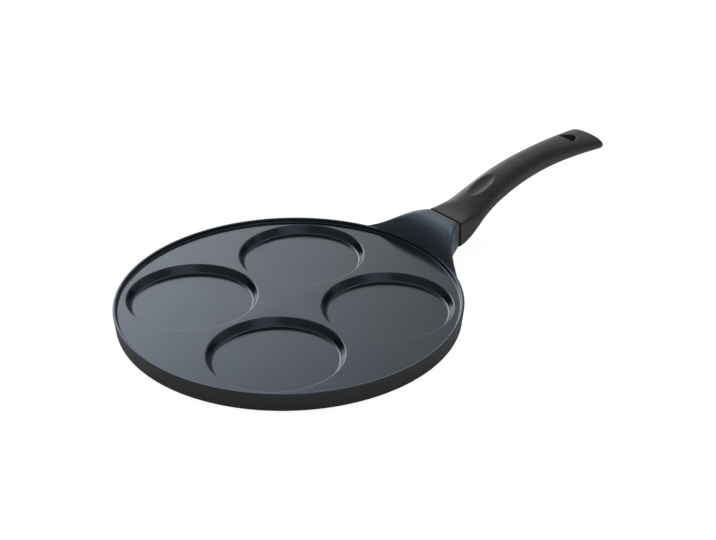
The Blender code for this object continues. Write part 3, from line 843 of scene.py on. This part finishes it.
def thumb_dip(handle, along, across):
    """Depth of the thumb rest at a place on the handle's top."""
    q = (along / handle.thumb_half_length) ** 2 + (across / handle.thumb_half_width) ** 2
    if q >= 1:
        return 0.0
    lift = THUMB_BOWL - handle.thumb_depth
    share = 1 - (lift / THUMB_BOWL) ** 2
    return THUMB_BOWL * math.sqrt(1 - q * share) - lift


def lip_drop(handle, outline, along, across):
    """How far the surface rounds down towards the hanging hole."""
    lip = handle.hole_lip
    if abs(along) > handle.hole_length / 2 + lip or abs(across) > handle.hole_width / 2 + lip:
        return 0.0
    away = outline_distance((along, across), outline)
    if away >= lip:
        return 0.0
    away = max(away, 0.0)
    return lip - math.sqrt(lip * lip - (lip - away) ** 2)


def handle_places(curve, handle):
    """Where the sections lie: closer together round the hanging hole and the thumb rest."""
    body_end = curve.length - handle.end_round
    hole = curve.length - handle.hole_from_end
    reach = handle.hole_length / 2 + handle.hole_lip
    first = hole - reach
    last = min(hole + reach, body_end)
    places = [first * i / HANDLE_SECTIONS for i in range(HANDLE_SECTIONS)]
    places += [first + (last - first) * i / HOLE_SECTIONS for i in range(HOLE_SECTIONS)]
    rest = max(math.ceil((body_end - last) / END_SPACING), 1)
    places += [last + (body_end - last) * i / rest for i in range(rest + 1)]
    return places


def handle_rings(curve, neck, handle):
    """Sections of the handle: upright at the seam, then square to the centreline, rounded at the end."""
    body_end = curve.length - handle.end_round
    places = handle_places(curve, handle)
    closing = [1.0] * len(places)
    turns = [math.pi / 2 * i / END_STEPS for i in range(1, END_STEPS + 1)]
    places += [body_end + handle.end_round * math.sin(turn) for turn in turns]
    closing += [math.cos(turn) for turn in turns]
    hole = curve.length - handle.hole_from_end
    outline = hole_outline(handle)
    start_x = curve.points[0].x
    rings = [seam_ring(neck, start_x + neck.edge_break - x, inset)
             for x, inset in reversed(edge_steps(neck.edge_break))]
    for place, open_part in zip(places, closing):
        centre, along = curve.at(place)
        width, height = curve.half_sizes(place)
        width -= handle.end_corner * (1 - open_part)
        height = handle.end_edge + (height - handle.end_edge) * open_part
        square = (1 - ease(place / handle.square_fade)) ** 3
        squareness = HANDLE_SQUARENESS + (SEAM_SQUARENESS - HANDLE_SQUARENESS) * square
        tilt = math.atan2(along.z, along.x) * ease(place / handle.turn_in)
        shift = neck.edge_break * max(1 - place / handle.turn_in, 0)
        ring = []
        for y, z in superellipse(width, height, squareness, SECTION_POINTS):
            drop = lip_drop(handle, outline, place - hole, y)
            if z > 0:
                drop += thumb_dip(handle, place - handle.thumb_from_seam, y)
            z = math.copysign(max(abs(z) - drop, 0), z)
            ring.append((centre.x + shift - z * math.sin(tilt), y, centre.z + z * math.cos(tilt)))
        rings.append(ring)
    return rings


# The pieces

def paint_dish(piece, dish):
    """Gives the plate and the top of the rim the dish's second finish."""
    for face in piece.data.polygons:
        middle = face.center
        on_lip = middle.z > dish.height - dish.rim_round
        inside = math.hypot(middle.x, middle.y) < dish.rim_radius - dish.rim_width / 2
        if on_lip or inside and middle.z > plate_height(dish) - DOUBLES:
            face.material_index = 1


def cut_wells(piece, dish, coating):
    """Cuts the wells with copies of one form, evenly round the middle."""
    model = give(lathe("well_form", well_profile(dish), WELL_STEPS), coating)
    ring = well_ring_radius(dish)
    for i in range(dish.well_count):
        angle = math.pi / dish.well_count * (2 * i + 1)
        take_up(model)
        bpy.ops.object.duplicate()
        place = Matrix.Translation((ring * math.cos(angle), ring * math.sin(angle), 0))
        combine(piece, added("well_cut"), "DIFFERENCE", place)
    bpy.data.objects.remove(model)


class PANCAKEPAN_OT_casting(bpy.types.Operator):
    """Model the casting: the dish, its neck and tang, and the wells"""
    bl_idname = "pancakepan.casting"
    bl_label = "Casting"

    def execute(self, context):
        scene = context.scene
        dish, neck, fastener, look = scene.pan_dish, scene.pan_neck, scene.pan_fasteners, scene.pan_finishes
        coating = coating_finish("dish_coating", look.coating, look.coating_sheen,
                                 look.coating_roughness, look.coating_ripple, look.coating_ior)
        neck_coating = coating_finish("neck_coating", look.neck, look.coating_sheen,
                                      look.neck_roughness, look.neck_ripple, look.neck_ior)
        enamel = enamel_finish("outside_enamel", look.enamel)
        piece = give(lathe("pan_casting", dish_profile(dish, fastener), RIM_STEPS), enamel, coating)
        paint_dish(piece, dish)
        combine(piece, give(loft("neck_form", neck_rings(dish, neck)), neck_coating), "UNION")
        tang = prism("tang_form", tang_outline(neck, 0), -neck.tang_root, neck.tang_length, "X")
        bevel(tang, TANG_EDGE)
        combine(piece, give(tang, enamel), "UNION", joint_place(dish, neck))
        cut_wells(piece, dish, coating)
        reach = neck.tang_half_height + CUT_OVERRUN
        bore = lathe("bore_form", [(0, -reach), (fastener.washer_bore, -reach),
                                   (fastener.washer_bore, reach), (0, reach)], BORE_STEPS)
        combine(piece, give(bore, enamel), "DIFFERENCE", screw_place(dish, neck, fastener))
        keep(piece, "pan_body")
        return {"FINISHED"}


def plate_hole_places(fastener):
    """Places of the base plate's holes, ring by ring."""
    ring = fastener.disc_first
    places = []
    while ring < PLATE_HIGH.x - fastener.disc_edge - fastener.disc_hole:
        count = round(2 * math.pi * ring / fastener.disc_pitch)
        places += [(ring * math.cos(2 * math.pi * i / count),
                    ring * math.sin(2 * math.pi * i / count), 0) for i in range(count)]
        ring += fastener.disc_step
    return places


class PANCAKEPAN_OT_base_plate(bpy.types.Operator):
    """Model the perforated steel plate in the base"""
    bl_idname = "pancakepan.base_plate"
    bl_label = "Base plate"

    def execute(self, context):
        fastener, look = context.scene.pan_fasteners, context.scene.pan_finishes
        radius, thickness = PLATE_HIGH.x, PLATE_HIGH.z
        profile = [(0, 0), (radius, 0), (radius, thickness), (0, thickness)]
        piece = lathe("base_plate", profile, PLATE_STEPS)
        start_fresh()
        places = plate_hole_places(fastener)
        size = {"vertices": PLATE_HOLE_STEPS, "radius": fastener.disc_hole, "depth": 2 * CUT_OVERRUN}
        bpy.ops.mesh.primitive_cylinder_add(location=(0, 0, 0), **size)
        holes = added("plate_hole_forms")
        bpy.ops.object.mode_set(mode="EDIT")
        bpy.ops.transform.translate(value=places[0])
        for place in places[1:]:
            bpy.ops.mesh.primitive_cylinder_add(location=place, **size)
        bpy.ops.object.mode_set(mode="OBJECT")
        combine(piece, holes, "DIFFERENCE")
        bevel(piece, PLATE_EDGE)
        give(piece, turned_steel_finish("ring_brushed_steel", look.steel))
        keep(piece, "induction_disc")
        return {"FINISHED"}


class PANCAKEPAN_OT_gasket(bpy.types.Operator):
    """Model the gasket in the seam"""
    bl_idname = "pancakepan.gasket"
    bl_label = "Gasket"

    def execute(self, context):
        scene = context.scene
        dish, neck, fastener = scene.pan_dish, scene.pan_neck, scene.pan_fasteners
        seam_x = dish.rim_radius + neck.length
        low = seam_x + fastener.gasket_clearance
        high = seam_x + neck.groove - fastener.gasket_clearance
        radius = (high - low) / 4
        sides = [(low + radius - x, inset) for x, inset in reversed(edge_steps(radius))]
        sides += [(low + radius, 0), (high - radius, 0)]
        sides += [(high - radius + x, inset) for x, inset in edge_steps(radius)]
        rings = [seam_ring(neck, x, fastener.gasket_inset + inset) for x, inset in sides]
        piece = loft("seam_gasket", rings)
        tang = prism("tang_space", tang_outline(neck, fastener.socket_clearance),
                     -CUT_OVERRUN, neck.tang_length, "X")
        combine(piece, tang, "DIFFERENCE", joint_place(dish, neck))
        give(piece, rubber_finish("gasket_silicone", scene.pan_finishes.rubber))
        keep(piece, "heat_gasket")
        return {"FINISHED"}


class PANCAKEPAN_OT_handle(bpy.types.Operator):
    """Model the handle with its thumb rest, hanging hole, socket and screw counterbore"""
    bl_idname = "pancakepan.handle"
    bl_label = "Handle"

    def execute(self, context):
        scene = context.scene
        dish, neck, handle, fastener = scene.pan_dish, scene.pan_neck, scene.pan_handle, scene.pan_fasteners
        curve = HandleCurve(dish, neck, handle)
        piece = loft("handle_moulding", handle_rings(curve, neck, handle))
        hole = curve.length - handle.hole_from_end
        reach = curve.half_sizes(hole)[1] + CUT_OVERRUN
        cut = prism("hole_form", hole_outline(handle), -reach, reach, "Z")
        combine(piece, cut, "DIFFERENCE", curve.frame(hole))
        socket = prism("socket_form", tang_outline(neck, fastener.socket_clearance), -CUT_OVERRUN,
                       neck.tang_length + fastener.socket_clearance, "X")
        combine(piece, socket, "DIFFERENCE", joint_place(dish, neck))
        deep = -(fastener.head_depth + fastener.head_height + CUT_OVERRUN)
        profile = [(0, 0), (fastener.washer_bore, 0), (fastener.washer_bore, -fastener.seat_depth),
                   (fastener.counterbore, -fastener.seat_depth), (fastener.counterbore, deep), (0, deep)]
        counterbore = lathe("counterbore_form", profile, COUNTERBORE_STEPS)
        combine(piece, counterbore, "DIFFERENCE", screw_place(dish, neck, fastener))
        give(piece, moulded_finish("soft_moulding", scene.pan_finishes.handle))
        keep(piece, "handle_grip")
        return {"FINISHED"}


def screw_profile(fastener):
    """Half section of the screw, along its axis from the head to the tip."""
    low = -(fastener.head_depth + fastener.head_height)
    shank, depth = fastener.screw_radius, fastener.thread_depth
    profile = [(0, low)]
    profile += arc((fastener.head_radius - fastener.head_round, low + fastener.head_round),
                   fastener.head_round, -math.pi / 2, 0, ROUND_STEPS)
    profile += [(fastener.head_radius, -fastener.head_depth), (shank, -fastener.head_depth)]
    for i in range(int((fastener.tip + fastener.head_depth) / fastener.thread_pitch) - 1):
        crest = -fastener.head_depth + fastener.thread_pitch * (i + 1)
        profile += [(shank, crest), (shank - depth, crest + fastener.thread_pitch / 2)]
    return profile + [(shank - depth * 2, fastener.tip), (0, fastener.tip)]


class PANCAKEPAN_OT_fasteners(bpy.types.Operator):
    """Model the screw and the flat washer, and finish the spring washer"""
    bl_idname = "pancakepan.fasteners"
    bl_label = "Screw and washers"

    def execute(self, context):
        scene = context.scene
        fastener = scene.pan_fasteners
        steel = plated_finish("small_part_steel", scene.pan_finishes.steel)
        place = screw_place(scene.pan_dish, scene.pan_neck, fastener)
        screw = lathe("cross_head_screw", screw_profile(fastener), FASTENER_STEPS)
        low = -(fastener.head_depth + fastener.head_height)
        arm = (fastener.recess_length, fastener.recess_width)
        for size in (arm, arm[::-1]):
            start_fresh()
            bpy.ops.mesh.primitive_cube_add(size=1, location=(0, 0, low),
                                            scale=(*size, fastener.recess_depth * 2))
            recess = added("recess_form")
            bpy.ops.object.transform_apply(location=True, rotation=True, scale=True)
            bevel(recess, RECESS_EDGE)
            combine(screw, recess, "DIFFERENCE")
        keep(give(set_place(screw, place), steel), "handle_screw")
        top = -fastener.washer_top
        bottom = top - fastener.washer_thickness
        bore, edge = fastener.washer_bore, fastener.washer_radius
        section = [(bore, bottom), (edge, bottom), (edge, top), (bore, top), (bore, bottom)]
        washer = lathe("plain_washer", section, FASTENER_STEPS)
        bevel(washer, WASHER_EDGE)
        keep(give(set_place(washer, place), steel), "flat_washer")
        give(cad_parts["spring_washer"], steel)
        return {"FINISHED"}


# The studio

def floor_finish(studio):
    """White floor for the camera, which keeps part of the pan's shadow."""
    finish = bpy.data.materials.new("pale_floor")
    nodes = Nodes(finish)
    nodes.tree.nodes.clear()
    matt = nodes.add("ShaderNodeBsdfDiffuse", {"Color": (*studio.floor, 1)})[0]
    glow = nodes.add("ShaderNodeEmission", {"Strength": FLOOR_GLOW})[0]
    camera_ray = nodes.add("ShaderNodeLightPath", {})["Is Camera Ray"]
    seen = nodes.add("ShaderNodeMath", {0: camera_ray, 1: 1 - FLOOR_SHADE}, operation="MULTIPLY")[0]
    mixed = nodes.add("ShaderNodeMixShader", {0: seen, 1: matt, 2: glow})[0]
    nodes.add("ShaderNodeOutputMaterial", {"Surface": mixed})
    return finish


def light_world(scene, studio):
    """White behind the pan; soft even light on it; reflections bright at the back and dim in front."""
    scene.world = bpy.data.worlds.new("studio_world")
    nodes = Nodes(scene.world)
    nodes.tree.nodes.clear()
    place = nodes.add("ShaderNodeTexCoord", {})["Generated"]

    def ramp(direction, low, high, at_low, at_high):
        """Value that changes as the cosine of the angle to a direction runs from low to high."""
        cosine = nodes.add("ShaderNodeVectorMath", {0: place, 1: direction.normalized()},
                           operation="DOT_PRODUCT")["Value"]
        inputs = {"From Min": low, "From Max": high, "To Min": at_low, "To Max": at_high, "Value": cosine}
        return nodes.add("ShaderNodeMapRange", inputs, interpolation_type="SMOOTHSTEP")["Result"]

    def joined(operation, first, *others):
        for other in others:
            first = nodes.add("ShaderNodeMath", {0: first, 1: other}, operation=operation)[0]
        return first

    up = Vector((0, 0, 1))
    back = Vector(STUDIO_BACK)
    left = up.cross(back)
    wall = joined("MULTIPLY", ramp(left, -0.20, 0.50, studio.dim_side, studio.bright_side),
                  ramp(left, 0.42, 0.78, 1, 0), ramp(up, 0.50, 0.66, 1, studio.high_back),
                  ramp(back, -0.30, 0.10, 0, 1))
    patches = [
        ramp(up - back * 0.12, 0.88, 0.97, 0, studio.overhead),
        ramp(back + up * 0.10, 0.962, 0.992, 0, studio.low_back),
        ramp(up * 0.84 + back * 0.53 - left * 0.09, 0.935, 0.988, 0, studio.shoulder_light),
        ramp(up * 0.67 - back * 0.70 - left * 0.25, 0.86, 0.97, 0, studio.front_light),
    ]
    around = ramp(up, 0.05, 0.40, studio.surround_low, studio.surround)
    reflected = joined("ADD", wall, around, *patches)
    matt = ramp(up * 0.2 - left, -0.4, 0.9, studio.level, studio.level * studio.right_fill)
    path = nodes.add("ShaderNodeLightPath", {})
    light = nodes.add("ShaderNodeMix", {"Factor": path["Is Glossy Ray"], "A": matt,
                                        "B": reflected})["Result"]
    seen = nodes.add("ShaderNodeMix", {"Factor": path["Is Camera Ray"], "A": light, "B": 1.0})["Result"]
    white = nodes.add("ShaderNodeBackground", {"Color": (1, 1, 1, 1), "Strength": seen})[0]
    nodes.add("ShaderNodeOutputWorld", {"Surface": white})


class PANCAKEPAN_OT_studio(bpy.types.Operator):
    """Lay the floor, hang the lamp, light the world and set up the camera"""
    bl_idname = "pancakepan.studio"
    bl_label = "Studio"

    def execute(self, context):
        scene = context.scene
        studio = scene.pan_studio
        start_fresh()
        bpy.ops.mesh.primitive_plane_add(size=FLOOR_SIZE, location=(0, 0, -FLOOR_DROP))
        give(added("studio_floor"), floor_finish(studio))
        start_fresh()
        bpy.ops.object.light_add(type="AREA", location=LAMP_PLACE)
        lamp = added("overhead_lamp")
        lamp.data.shape = "DISK"
        lamp.data.size = LAMP_SIZE
        lamp.data.energy = studio.lamp_power
        lamp.rotation_euler = (-lamp.location).to_track_quat("-Z", "Y").to_euler()
        lamp.visible_glossy = False
        light_world(scene, studio)
        scene.view_settings.view_transform = "Standard"
        bpy.ops.object.camera_add(location=studio.camera_place)
        camera = added("studio_camera")
        camera.rotation_euler = Vector(studio.camera_aim).to_track_quat("-Z", "Y").to_euler()
        camera.data.lens = studio.focal_length
        camera.data.sensor_width = SENSOR_WIDTH
        camera.data.shift_x = CAMERA_SHIFT
        camera.data.clip_start, camera.data.clip_end = CAMERA_CLIP
        scene.camera = camera
        return {"FINISHED"}


class PANCAKEPAN_PT_panel(bpy.types.Panel):
    """Lists the pieces of the pan"""
    bl_label = "Pancake Pan"
    bl_idname = "PANCAKEPAN_PT_panel"
    bl_space_type = "VIEW_3D"
    bl_region_type = "UI"
    bl_category = "Pancake Pan"

    def draw(self, context):
        for operator in OPERATORS:
            self.layout.operator(operator.bl_idname)
        for group in GROUPS:
            settings = getattr(context.scene, group)
            box = self.layout.box()
            box.label(text=GROUPS[group].__doc__)
            for key in GROUPS[group].__annotations__:
                box.prop(settings, key)


GROUPS = {
    "pan_dish": DishSizes,
    "pan_neck": NeckSizes,
    "pan_handle": HandleSizes,
    "pan_fasteners": FastenerSizes,
    "pan_finishes": Finishes,
    "pan_studio": StudioSettings,
}
OPERATORS = (
    PANCAKEPAN_OT_casting,
    PANCAKEPAN_OT_base_plate,
    PANCAKEPAN_OT_gasket,
    PANCAKEPAN_OT_handle,
    PANCAKEPAN_OT_fasteners,
    PANCAKEPAN_OT_studio,
)


def register():
    for name, group in GROUPS.items():
        bpy.utils.register_class(group)
        setattr(bpy.types.Scene, name, bpy.props.PointerProperty(type=group))
    for operator in OPERATORS:
        bpy.utils.register_class(operator)
    bpy.utils.register_class(PANCAKEPAN_PT_panel)


def unregister():
    bpy.utils.unregister_class(PANCAKEPAN_PT_panel)
    for operator in reversed(OPERATORS):
        bpy.utils.unregister_class(operator)
    for name, group in reversed(list(GROUPS.items())):
        delattr(bpy.types.Scene, name)
        bpy.utils.unregister_class(group)


def main():
    register()
    bpy.ops.pancakepan.casting()
    bpy.ops.pancakepan.base_plate()
    bpy.ops.pancakepan.gasket()
    bpy.ops.pancakepan.handle()
    bpy.ops.pancakepan.fasteners()
    bpy.ops.pancakepan.studio()


if __name__ == "__main__":
    main()
